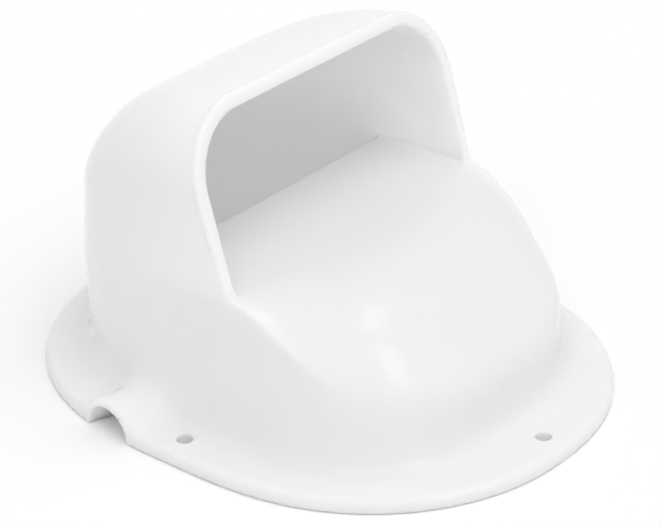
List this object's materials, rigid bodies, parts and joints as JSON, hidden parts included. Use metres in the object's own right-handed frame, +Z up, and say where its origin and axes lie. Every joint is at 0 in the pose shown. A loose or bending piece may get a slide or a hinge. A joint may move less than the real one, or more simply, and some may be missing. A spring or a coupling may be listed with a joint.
{
  "type": "cowl vent",
  "caption": "Low-profile deck cowl vent: a forward-facing hood on a screw-down flange, with an inner ramp, drain tunnels and a screened duct collar.",
  "frame": {"origin": "middle of the flange's underside, on the deck", "axes": "+Z up from the deck, -Y out of the hood's mouth, +X to the right of a viewer who looks along +Y into the mouth"},
  "size_m": [0.1678, 0.2008, 0.1149],
  "materials": {
    "white_gloss": "glossy white moulded ABS with soft highlights",
    "white_satin": "satin white moulded plastic",
    "black_foam": "matt black closed-cell foam rubber",
    "stainless": "plain stainless steel"
  },
  "bodies": {
    "root": {"cowl_shell": "white_gloss", "duct_collar": "white_satin", "screen_ring": "white_satin", "insect_screen": "stainless", "collar_seal": "black_foam", "flange_seal_front": "black_foam", "flange_seal_rear": "black_foam", "collar_screw_1": "stainless", "collar_screw_2": "stainless", "collar_screw_3": "stainless", "collar_screw_4": "stainless"}
  },
  "joints": []
}
